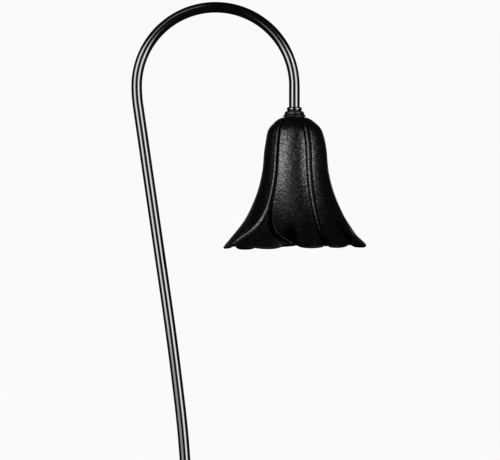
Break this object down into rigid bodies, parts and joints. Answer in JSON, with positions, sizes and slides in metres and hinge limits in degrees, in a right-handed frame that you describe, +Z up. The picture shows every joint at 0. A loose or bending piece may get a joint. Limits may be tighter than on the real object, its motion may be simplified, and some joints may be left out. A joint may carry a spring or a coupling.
{
  "type": "garden path light",
  "caption": "Black garden path light: a slim tube hook on a ground stake, with a cast bell-flower shade hanging mouth down over a small wedge-base lamp.",
  "frame": {"origin": "on the ground stake's axis, at soil level, which is the underside of the stake's flange", "axes": "+Z up along the stake's axis; +X from the stake towards the side where the shade hangs; -Y faces the viewer"},
  "size_m": [0.2867, 0.1729, 0.9415],
  "materials": {
    "gloss_black_enamel": "gloss black enamel on steel and brass",
    "textured_black_casting": "satin, finely stippled black powder coat on a cast shade",
    "stake_plastic": "moulded, matt black",
    "rubber": "matt black",
    "lead_insulation": "satin black flexible insulation",
    "brass": "plain machined",
    "zinc_steel": "zinc plated",
    "satin_aluminium": "spun, satin",
    "socket_porcelain": "white glazed",
    "cream_plastic": "moulded, cream",
    "connector_plastic": "moulded, dark blue",
    "bulb_glass": "clear",
    "tungsten": "drawn grey wire"
  },
  "bodies": {
    "base": {"ground_stake": "stake_plastic", "stake_insert": "brass", "stake_washer": "rubber", "jam_nut": "gloss_black_enamel", "cable_grommet": "rubber", "wire_nut_front": "connector_plastic", "wire_nut_back": "connector_plastic"},
    "stem": {"hook_stem": "gloss_black_enamel", "stem_bushing": "brass", "lead_front": "lead_insulation", "lead_back": "lead_insulation", "nipple": "brass", "shade_cap": "gloss_black_enamel", "cap_gasket": "rubber", "inner_washer": "zinc_steel", "nipple_nut": "brass", "cup_nut": "brass", "nipple_bushing": "cream_plastic", "socket_cup": "satin_aluminium", "socket_body": "socket_porcelain", "contact_front": "brass", "contact_back": "brass", "socket_screw_left": "zinc_steel", "socket_screw_right": "zinc_steel"},
    "lock_ring": {"lock_ring": "gloss_black_enamel"},
    "shade": {"shade_shell": "textured_black_casting"},
    "lamp": {"bulb_base": "cream_plastic", "bulb_glass": "bulb_glass", "bulb_filament": "tungsten"}
  },
  "joints": [
    {"name": "stem_turn", "type": "hinge", "parent": "base", "child": "stem", "pos_m": [0, 0, 0.05], "axis": [0, 0, 1], "range_deg": [-180, 180]},
    {"name": "lock_ring_turn", "type": "hinge", "parent": "stem", "child": "lock_ring", "pos_m": [0.1319, 0, 0.5787], "axis": [0, 0, 1], "range_deg": [0, 360]},
    {"name": "shade_turn", "type": "hinge", "parent": "stem", "child": "shade", "pos_m": [0.1319, 0, 0.5681], "axis": [0, 0, 1], "range_deg": [-180, 180]},
    {"name": "lamp_pull", "type": "slide", "parent": "stem", "child": "lamp", "axis": [0, 0, -1], "range_m": [0, 0.15]}
  ]
}
